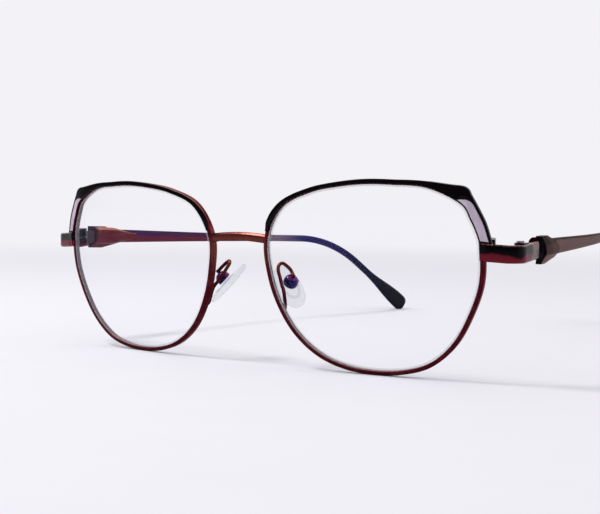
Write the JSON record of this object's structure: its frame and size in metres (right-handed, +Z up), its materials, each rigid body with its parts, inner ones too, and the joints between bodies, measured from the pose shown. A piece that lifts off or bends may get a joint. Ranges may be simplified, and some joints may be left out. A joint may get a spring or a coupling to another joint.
{
  "type": "eyeglass frame",
  "caption": "Metal eyeglass frame with an enamelled cat-eye brow, clear lenses, adjustable nose pads and spring-hinged folding temples with plastic tips.",
  "frame": {"origin": "centre of the bounding box, on the surface that the rims and the temple tips stand on", "axes": "+Z up, +Y from the front back along the open temples, +X towards the left of the wearer"},
  "size_m": [0.135, 0.1546, 0.0429],
  "materials": {
    "burgundy_metal": "glossy",
    "black_lacquer": "glossy",
    "lilac_enamel": "satin",
    "clear_lens": "polished, clear",
    "temple_metal": "satin",
    "hinge_metal": "satin",
    "screw_steel": "bright",
    "violet_chrome": "mirror, tinted",
    "pad_plastic": "clear",
    "dark_acetate": "polished"
  },
  "bodies": {
    "front": {"bridge": "burgundy_metal", "eyewire_left": "burgundy_metal", "lens_left": "clear_lens", "brow_trim_left": "black_lacquer", "brow_inlay_left": "lilac_enamel", "end_piece_left": "burgundy_metal", "rim_lock_upper_left": "burgundy_metal", "rim_lock_lower_left": "burgundy_metal", "rim_lock_screw_left": "screw_steel", "pad_arm_left": "burgundy_metal", "pad_box_left": "violet_chrome", "pad_screw_left": "screw_steel", "hinge_fork_left": "burgundy_metal", "hinge_screw_left": "screw_steel", "eyewire_right": "burgundy_metal", "lens_right": "clear_lens", "brow_trim_right": "black_lacquer", "brow_inlay_right": "lilac_enamel", "end_piece_right": "burgundy_metal", "rim_lock_upper_right": "burgundy_metal", "rim_lock_lower_right": "burgundy_metal", "rim_lock_screw_right": "screw_steel", "pad_arm_right": "burgundy_metal", "pad_box_right": "violet_chrome", "pad_screw_right": "screw_steel", "hinge_fork_right": "burgundy_metal", "hinge_screw_right": "screw_steel"},
    "tongue_left": {"hinge_tongue_left": "hinge_metal", "hinge_spring_left": "screw_steel"},
    "temple_left": {"hinge_housing_left": "burgundy_metal", "temple_arm_left": "temple_metal", "temple_sleeve_left": "temple_metal", "temple_tip_left": "dark_acetate"},
    "pad_left": {"nose_pad_left": "pad_plastic"},
    "tongue_right": {"hinge_tongue_right": "hinge_metal", "hinge_spring_right": "screw_steel"},
    "temple_right": {"hinge_housing_right": "burgundy_metal", "temple_arm_right": "temple_metal", "temple_sleeve_right": "temple_metal", "temple_tip_right": "dark_acetate"},
    "pad_right": {"nose_pad_right": "pad_plastic"}
  },
  "joints": [
    {"name": "temple_fold_left", "type": "hinge", "parent": "front", "child": "tongue_left", "pos_m": [0.0642, -0.06343, 0.02823], "axis": [0, 0, 1], "range_deg": [-10, 82]},
    {"name": "temple_spring_left", "type": "slide", "parent": "tongue_left", "child": "temple_left", "axis": [-0.061, 0.9981, 0], "range_m": [0, 0.0012], "stiffness_N_per_m": 2500, "springref_m": -0.0004, "deforming": ["hinge_spring_left"]},
    {"name": "pad_rock_left", "type": "hinge", "parent": "front", "child": "pad_left", "pos_m": [0.00997, -0.06851, 0.01944], "axis": [-0.4828, -0.8714, -0.0871], "range_deg": [-12, 5]},
    {"name": "temple_fold_right", "type": "hinge", "parent": "front", "child": "tongue_right", "pos_m": [-0.0642, -0.06343, 0.02823], "axis": [0, 0, -1], "range_deg": [-10, 74]},
    {"name": "temple_spring_right", "type": "slide", "parent": "tongue_right", "child": "temple_right", "axis": [0.061, 0.9981, 0], "range_m": [0, 0.0012], "stiffness_N_per_m": 2500, "springref_m": -0.0004, "deforming": ["hinge_spring_right"]},
    {"name": "pad_rock_right", "type": "hinge", "parent": "front", "child": "pad_right", "pos_m": [-0.00997, -0.06851, 0.01944], "axis": [-0.4828, 0.8714, 0.0871], "range_deg": [-12, 5]}
  ]
}
